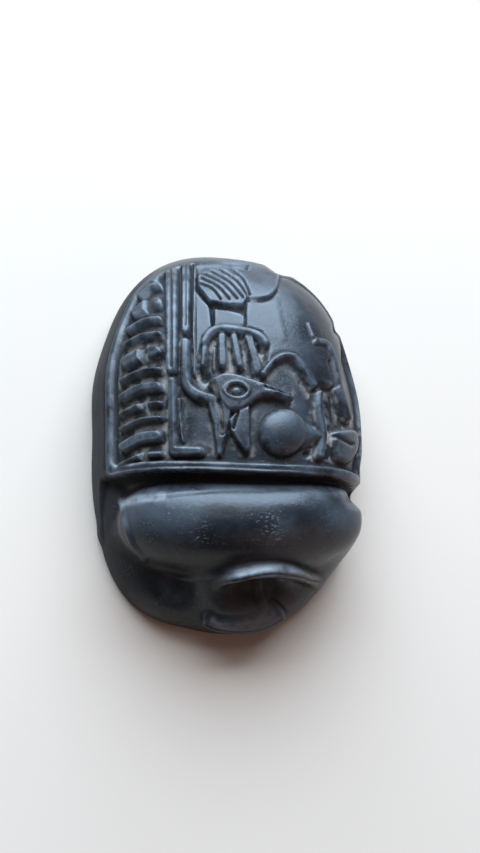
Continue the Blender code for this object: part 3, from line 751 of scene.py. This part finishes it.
def worn_and_highlit_crests(points):
    """Where hands have worn the stone pale, with a painted highlight on the hood and lip: the hood's crest,
    the lip and the pronotum's near corner.
    """
    s, t = on_sheet(points)
    crest = bump(to_stroke(s, t - 0.5, curve(HOOD_ARC), 0.1), 1.1)
    hood = 0.65 * crest * fade(s, -5, 0) * fade(-s, -15, -9)
    lip = curve([(-5.4, -37.9), (-3.8, -38.5), (0, -38.8), (3.6, -38.1), (6.4, -36.8)])
    lip = 0.45 * (1 - 0.5 * fade(s, -4, 3)) * bump(to_stroke(s, t, lip, 0.1), 0.5)
    scuff = 0.6 * bump(to_stroke(s, t, [(-23.6, -15.2), (-20, -14.5), (-15.4, -13.9)], 0.2), 1.1)
    return np.maximum(np.maximum(hood, lip) * (points[:, 1] < PRONOTUM_FRONT_Y), scuff)


def painted_shade_in_recess(points):
    """Where painted shade darkens the recess under the hood."""
    s, t = on_sheet(points)
    recess = to_oval(s, t, *RECESS_OVAL)
    return 0.9 * fade(-recess, 0.2, 1.8) * (points[:, 1] < PRONOTUM_FRONT_Y)


def painted_shade_on_flank(points):
    """Where painted shade darkens the near flank, below the panel and beside the pronotum."""
    return 0.75 * fade(-points[:, 0], 14, 21) * fade(-points[:, 2], -13, -10.5)


def scuffed(points):
    """Where the pronotum is scuffed: a band across its middle, and a trace over the rest."""
    s, t = on_sheet(points)
    band = bump(to_stroke(s, t, [(-18, -20), (-6, -20.8), (11, -19.6)], 1.2), 3.2)
    return np.clip(0.25 + 0.9 * band, 0, 1)


print("painted_darkening covers", int((painted_shade_in_recess(smooth) > 0.5).sum()), "points of the recess")

# %% [markdown]
# An edge stands above the mean of the points round it, and a hollow lies below it. A mean over a few
# rounds of neighbours finds the fine lines, and one over many rounds finds the broad hollows. All
# five numbers are then kept on the mesh as attributes, and the material reads them from there.

# %% Edges, hollows and the mesh's attributes
NEAR_ROUNDS = 12
FAR_ROUNDS = 50
SHARP_EDGE = 0.10
FINE_HOLLOW = 0.08
BROAD_HOLLOW = 0.6

edge_ends = np.empty(len(stone_mesh.edges) * 2, np.int32)
stone_mesh.edges.foreach_get("vertices", edge_ends)
edge_ends = edge_ends.reshape(-1, 2)
neighbours = np.bincount(edge_ends.ravel(), minlength=len(surface))


def averaged(values, rounds):
    """The values smoothed over the mesh, each round taking the mean of the neighbours."""
    first, second = edge_ends[:, 0], edge_ends[:, 1]
    for _ in range(rounds):
        total = np.zeros_like(values)
        for column in range(values.shape[1]):
            total[:, column] = np.bincount(first, values[second, column], len(values))
            total[:, column] += np.bincount(second, values[first, column], len(values))
        values = 0.5 * values + 0.5 * total / neighbours[:, None]
    return values


near_mean = averaged(surface, NEAR_ROUNDS)
far_mean = averaged(near_mean, FAR_ROUNDS)
above_near = ((surface - near_mean) * directions).sum(axis=1)
above_far = ((surface - far_mean) * directions).sum(axis=1)
# The hollows get painted shade: the foot of each wall and the broad hollows are darkened where shade falls.
painted_shade = 0.6 * np.clip(-above_near / FINE_HOLLOW, 0, 1) + 0.8 * np.clip(-above_far / BROAD_HOLLOW, 0, 1)
dust = np.zeros(len(surface))
panel = (smooth[:, 2] > BORDER_LEVEL) & (smooth[:, 1] > groove_line(smooth[:, 0]) + 2)
dust[panel] = dust_in_gaps(smooth[panel])
stone_mesh.vertices.foreach_set("co", (surface * MM).ravel())
attributes = {
    "dust": dust,
    "edge": np.clip(above_near / SHARP_EDGE, 0, 1),
    "painted_shade": np.clip(painted_shade + painted_shade_in_recess(smooth) + painted_shade_on_flank(smooth), 0, 1),
    "crest": worn_and_highlit_crests(smooth),
    "scuffed": scuffed(smooth),
}
for name, values in attributes.items():
    layer = stone_mesh.attributes.new(name, "FLOAT", "POINT")
    layer.data.foreach_set("value", values.astype(np.float32))
print("mean dust", round(float(dust.mean()), 3), "sharpest edge", round(float(above_near.max()), 2), "mm")

# %% [markdown]
# ## One closed piece
#
# The ball has far more points than the flat parts need, so a Decimate modifier merges those and
# leaves the carving fine. Then the mesh is cut at z = 0 and closed with one flat face, because the
# amulet lies on it.

# %% Fewer faces, flat underside
MOST_TRIANGLES = 195_000

stone = bpy.data.objects.new("scarab_stone", stone_mesh)
bpy.context.scene.collection.objects.link(stone)
stone_mesh.calc_loop_triangles()
ratio = min(1.0, MOST_TRIANGLES / len(stone_mesh.loop_triangles))
if ratio < 1:
    thinner = stone.modifiers.new("Fewer faces", "DECIMATE")
    thinner.ratio = ratio
    graph = bpy.context.evaluated_depsgraph_get()
    thin_mesh = bpy.data.meshes.new_from_object(stone.evaluated_get(graph))
    stone.modifiers.clear()
    stone.data = thin_mesh
print("attributes kept:", [a.name for a in stone.data.attributes])

shape = bmesh.new()
shape.from_mesh(stone.data)
everything = shape.verts[:] + shape.edges[:] + shape.faces[:]
bmesh.ops.bisect_plane(shape, geom=everything, plane_co=(0, 0, 0), plane_no=(0, 0, 1), clear_inner=True)
base_rim = [edge for edge in shape.edges if edge.is_boundary]
for edge in base_rim:
    for corner in edge.verts:
        corner.co.z = 0.0
bmesh.ops.holes_fill(shape, edges=base_rim, sides=0)
bmesh.ops.recalc_face_normals(shape, faces=shape.faces[:])
shape.to_mesh(stone.data)
shape.free()
stone.data.calc_loop_triangles()
print("the amulet has", len(stone.data.loop_triangles), "triangles")

# %% [markdown]
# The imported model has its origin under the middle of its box, so the mesh moves there too. The eye
# moves with it.

# %% Place
places = coordinates(stone.data)
middle = (places.min(axis=0) + places.max(axis=0)) / 2 - (cad_low + cad_high) / 2
middle[2] = 0.0
stone.data.vertices.foreach_set("co", (places - middle).ravel())
stone.data.shade_smooth()
stone.data.update()
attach(stone, "root")
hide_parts("scarab")
print("moved by", np.round(middle / MM, 2), "mm")

# %% [markdown]
# ## Black stone
#
# The stone is black with a faint grey bloom. Pale brown dust lies in the cuts, edges are rubbed a
# little lighter and carry a painted highlight, painted shade darkens the hollows, and pale flecks lie
# where the pronotum is scuffed. The hood and the lip are worn pale, with a painted highlight there too.
# A patchy mask breaks most of these up, so it is a node group with its own size and threshold.

# %% Node helpers


def add_node(tree, kind, **values):
    """A node of this kind with its named inputs set."""
    node = tree.nodes.new(kind)
    for name, value in values.items():
        if name in node.inputs:
            node.inputs[name].default_value = value
        else:
            setattr(node, name, value)
    return node


def patchy_mask_group():
    """Random patches: noise of a given size, hardened between two levels."""
    group = bpy.data.node_groups.new("patchy_mask", "ShaderNodeTree")
    interface = group.interface
    interface.new_socket("Vector", in_out="INPUT", socket_type="NodeSocketVector")
    for name, value in (("Scale", 100.0), ("Detail", 4.0), ("From", 0.4), ("To", 0.6)):
        interface.new_socket(name, in_out="INPUT", socket_type="NodeSocketFloat").default_value = value
    interface.new_socket("Mask", in_out="OUTPUT", socket_type="NodeSocketFloat")
    given = group.nodes.new("NodeGroupInput")
    made = group.nodes.new("NodeGroupOutput")
    noise = add_node(group, "ShaderNodeTexNoise")
    harden = add_node(group, "ShaderNodeMapRange")
    harden.interpolation_type = "SMOOTHSTEP"
    group.links.new(given.outputs["Vector"], noise.inputs["Vector"])
    group.links.new(given.outputs["Scale"], noise.inputs["Scale"])
    group.links.new(given.outputs["Detail"], noise.inputs["Detail"])
    group.links.new(noise.outputs["Fac"], harden.inputs["Value"])
    group.links.new(given.outputs["From"], harden.inputs["From Min"])
    group.links.new(given.outputs["To"], harden.inputs["From Max"])
    group.links.new(harden.outputs["Result"], made.inputs["Mask"])
    return group


PATCHY = patchy_mask_group()


def patches(tree, where, scale, detail, start, end):
    """A patchy mask in this material."""
    node = tree.nodes.new("ShaderNodeGroup")
    node.node_tree = PATCHY
    for name, value in (("Scale", scale), ("Detail", detail), ("From", start), ("To", end)):
        node.inputs[name].default_value = value
    tree.links.new(where, node.inputs["Vector"])
    return node.outputs["Mask"]


def blend_colour(tree, mask, below, above):
    """One colour over another through a mask. Each is a colour or a socket."""
    mix = tree.nodes.new("ShaderNodeMix")
    mix.data_type = "RGBA"
    tree.links.new(mask, mix.inputs["Factor"])
    for name, value in (("A", below), ("B", above)):
        socket = next(i for i in mix.inputs if i.name == name and i.type == "RGBA")
        if isinstance(value, tuple):
            socket.default_value = value
        else:
            tree.links.new(value, socket)
    return next(o for o in mix.outputs if o.type == "RGBA")


def calculate(tree, operation, first, second, clamp=False):
    """Arithmetic on two numbers or sockets."""
    node = tree.nodes.new("ShaderNodeMath")
    node.operation = operation
    node.use_clamp = clamp
    for socket, value in zip(node.inputs, (first, second)):
        if isinstance(value, (int, float)):
            socket.default_value = value
        else:
            tree.links.new(value, socket)
    return node.outputs["Value"]


print("the patchy mask has", len(PATCHY.nodes), "nodes")

# %% [markdown]
# The colour is built up in layers, from the bare stone to the flecks that lie on top. Each layer
# covers the one below through a mask, which is an attribute of the mesh broken up by patches.

# %% Stone's colour
BLACK = (0.0075, 0.0085, 0.0105, 1)
GREY_BLOOM = (0.026, 0.030, 0.035, 1)
RUBBED_AND_HIGHLIGHT = (0.11, 0.13, 0.15, 1)
PAINTED_SHADE_COLOUR = (0.006, 0.005, 0.005, 1)
WORN_AND_HIGHLIGHT = (0.17, 0.175, 0.185, 1)
DUST = (0.25, 0.22, 0.195, 1)
FLECK = (0.11, 0.115, 0.12, 1)

black_stone = bpy.data.materials.new("black_stone")
black_stone.use_nodes = True
tree = black_stone.node_tree
shader = tree.nodes["Principled BSDF"]
shader.inputs["Specular IOR Level"].default_value = 0.24
place = add_node(tree, "ShaderNodeTexCoord").outputs["Object"]
dusty = add_node(tree, "ShaderNodeAttribute", attribute_name="dust").outputs["Fac"]
edge = add_node(tree, "ShaderNodeAttribute", attribute_name="edge").outputs["Fac"]
painted_shade_fac = add_node(tree, "ShaderNodeAttribute", attribute_name="painted_shade").outputs["Fac"]
crest = add_node(tree, "ShaderNodeAttribute", attribute_name="crest").outputs["Fac"]
scuffs = add_node(tree, "ShaderNodeAttribute", attribute_name="scuffed").outputs["Fac"]

bloom = patches(tree, place, 90.0, 5.0, 0.38, 0.68)
colour = blend_colour(tree, bloom, BLACK, GREY_BLOOM)
# Raised edges are rubbed a little lighter, and this lighter colour also paints a highlight along them.
rubbed_and_highlit = calculate(tree, "MULTIPLY", edge, patches(tree, place, 420.0, 3.0, 0.35, 0.65), clamp=True)
colour = blend_colour(tree, calculate(tree, "MULTIPLY", rubbed_and_highlit, 0.4), colour, RUBBED_AND_HIGHLIGHT)
# Painted shade: the hollows, the recess under the hood and the near flank are darkened where shade falls.
colour = blend_colour(tree, painted_shade_fac, colour, PAINTED_SHADE_COLOUR)
# The hood's crest and the lip are worn pale, and the lighter colour there also paints a highlight on them.
crest_worn_and_highlit = calculate(tree, "MULTIPLY", crest, patches(tree, place, 500.0, 8.0, 0.25, 0.60), clamp=True)
colour = blend_colour(tree, crest_worn_and_highlit, colour, WORN_AND_HIGHLIGHT)
dust_patches = patches(tree, place, 480.0, 8.0, 0.43, 0.60)
clear_of_walls = calculate(tree, "SUBTRACT", dusty, calculate(tree, "MULTIPLY", painted_shade_fac, 0.55), clamp=True)
dust_cover = calculate(tree, "MULTIPLY", clear_of_walls, dust_patches, clamp=True)
colour = blend_colour(tree, dust_cover, colour, DUST)
fleck_places = calculate(tree, "MULTIPLY", patches(tree, place, 130.0, 4.0, 0.40, 0.62), scuffs)
stretched = add_node(tree, "ShaderNodeMapping", Scale=(0.65, 1.0, 1.0))
tree.links.new(place, stretched.inputs["Vector"])
flecks = patches(tree, stretched.outputs["Vector"], 2700.0, 3.0, 0.54, 0.74)
flecks = calculate(tree, "MULTIPLY", flecks, fleck_places)
colour = blend_colour(tree, flecks, colour, FLECK)
tree.links.new(colour, shader.inputs["Base Color"])
print("the colour has", len(tree.nodes), "nodes")

# %% [markdown]
# Bare stone shines softly, and bloom, dust and the painted shade in the hollows each take some of the
# shine away. A very low bump, fine grain on longer waves, keeps the polished parts from looking like glass.

# %% Stone's polish and grain
POLISHED_ROUGHNESS = 0.26
BLOOM_ROUGHNESS = 0.15
DUST_ROUGHNESS = 0.4
PAINTED_SHADE_ROUGHNESS = 0.45
GRAIN_SCALE = 1500.0
WAVE_SCALE = 320.0
GRAIN_SHARE = 0.5
RELIEF_DISTANCE = 0.00012

roughness = calculate(tree, "MULTIPLY_ADD", bloom, BLOOM_ROUGHNESS)
roughness.node.inputs[2].default_value = POLISHED_ROUGHNESS
for cover, gain in ((dust_cover, DUST_ROUGHNESS), (painted_shade_fac, PAINTED_SHADE_ROUGHNESS)):
    rougher = calculate(tree, "MULTIPLY_ADD", cover, gain)
    tree.links.new(roughness, rougher.node.inputs[2])
    roughness = rougher
tree.links.new(roughness, shader.inputs["Roughness"])

grain = add_node(tree, "ShaderNodeTexNoise", Scale=GRAIN_SCALE, Detail=5.0, Roughness=0.65)
tree.links.new(place, grain.inputs["Vector"])
waves = add_node(tree, "ShaderNodeTexNoise", Scale=WAVE_SCALE, Detail=3.0)
tree.links.new(place, waves.inputs["Vector"])
fine = calculate(tree, "MULTIPLY", grain.outputs["Fac"], GRAIN_SHARE)
height = calculate(tree, "ADD", fine, waves.outputs["Fac"])
relief = add_node(tree, "ShaderNodeBump", Strength=0.65, Distance=RELIEF_DISTANCE)
tree.links.new(height, relief.inputs["Height"])
tree.links.new(relief.outputs["Normal"], shader.inputs["Normal"])
stone.data.materials.clear()
stone.data.materials.append(black_stone)
print("the stone's material has", len(tree.nodes), "nodes")

# %% [markdown]
# ## Floor
#
# A wide pale floor carries the amulet and its soft shadow.

# %% Floor
FLOOR_SIZE = 6.0
FLOOR_GAP = 0.00005

bpy.ops.mesh.primitive_plane_add(size=FLOOR_SIZE, location=(0, 0, -FLOOR_GAP))
floor = bpy.context.object
floor.name = "pale_floor"
floor_paint = bpy.data.materials.new("pale_floor")
floor_paint.use_nodes = True
floor_shader = floor_paint.node_tree.nodes["Principled BSDF"]
floor_shader.inputs["Base Color"].default_value = (0.40, 0.325, 0.265, 1)
floor_shader.inputs["Roughness"].default_value = 0.9
floor.data.materials.append(floor_paint)
floor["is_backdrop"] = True
print("the floor is", FLOOR_SIZE, "m wide")

# %% [markdown]
# ## Light
#
# The main light is a wide cool window beyond the tail, low enough to rake across the carving and to
# leave the groove's wall dark. A small skylight stands higher above the tail, and a weak warm light
# fills the head end. The studio round them is dim and warm.

# %% Lights


def soft_light(name, direction, distance, size, power, colour):
    """A soft oblong light that shines on the amulet from this direction."""
    light = bpy.data.lights.new(name, "AREA")
    light.shape = "RECTANGLE"
    light.size, light.size_y = size
    light.energy = power
    light.color = colour
    lamp = bpy.data.objects.new(name, light)
    towards = Vector(direction).normalized()
    lamp.location = towards * distance
    lamp.rotation_euler = towards.to_track_quat("Z", "Y").to_euler()
    bpy.context.scene.collection.objects.link(lamp)
    print(name, "gives", power, "watts")


soft_light("window", (-0.08, 0.80, 0.56), 0.9, (1.3, 0.8), 57.0, (0.60, 0.79, 1.0))
soft_light("skylight", (-0.05, 0.42, 0.86), 0.9, (0.6, 0.5), 4.0, (0.80, 0.88, 1.0))
soft_light("warm_fill", (0.80, -0.75, 0.55), 1.1, (1.1, 1.1), 2.8, (1.0, 0.56, 0.47))

world = bpy.data.worlds.new("studio")
bpy.context.scene.world = world
world.use_nodes = True
world.node_tree.nodes["Background"].inputs["Color"].default_value = (1.0, 0.94, 0.93, 1)
world.node_tree.nodes["Background"].inputs["Strength"].default_value = 0.12
bpy.context.scene.view_settings.view_transform = "Standard"

# %% [markdown]
# ## Camera
#
# The camera stands at the eye of the carver's sheet, high above the front left. The lens follows from
# the sheet too: 5 picture points to each millimetre of a sheet 200 mm away.

# %% Camera
PICTURE_HEIGHT = 853
POINTS_PER_SHEET_MM = 5.0
focal_points = POINTS_PER_SHEET_MM * SHEET_DISTANCE

camera_data = bpy.data.cameras.new("camera")
camera_data.sensor_width = 36.0
camera_data.lens = camera_data.sensor_width * focal_points / PICTURE_HEIGHT
camera_data.clip_start = 0.01
camera = bpy.data.objects.new("camera", camera_data)
turn = Matrix((RIGHT, UP, BACK)).transposed()
camera.matrix_world = Matrix.Translation(Vector(EYE * MM - middle)) @ turn.to_4x4()
bpy.context.scene.collection.objects.link(camera)
bpy.context.scene.camera = camera
print("lens", round(camera_data.lens, 1), "mm")
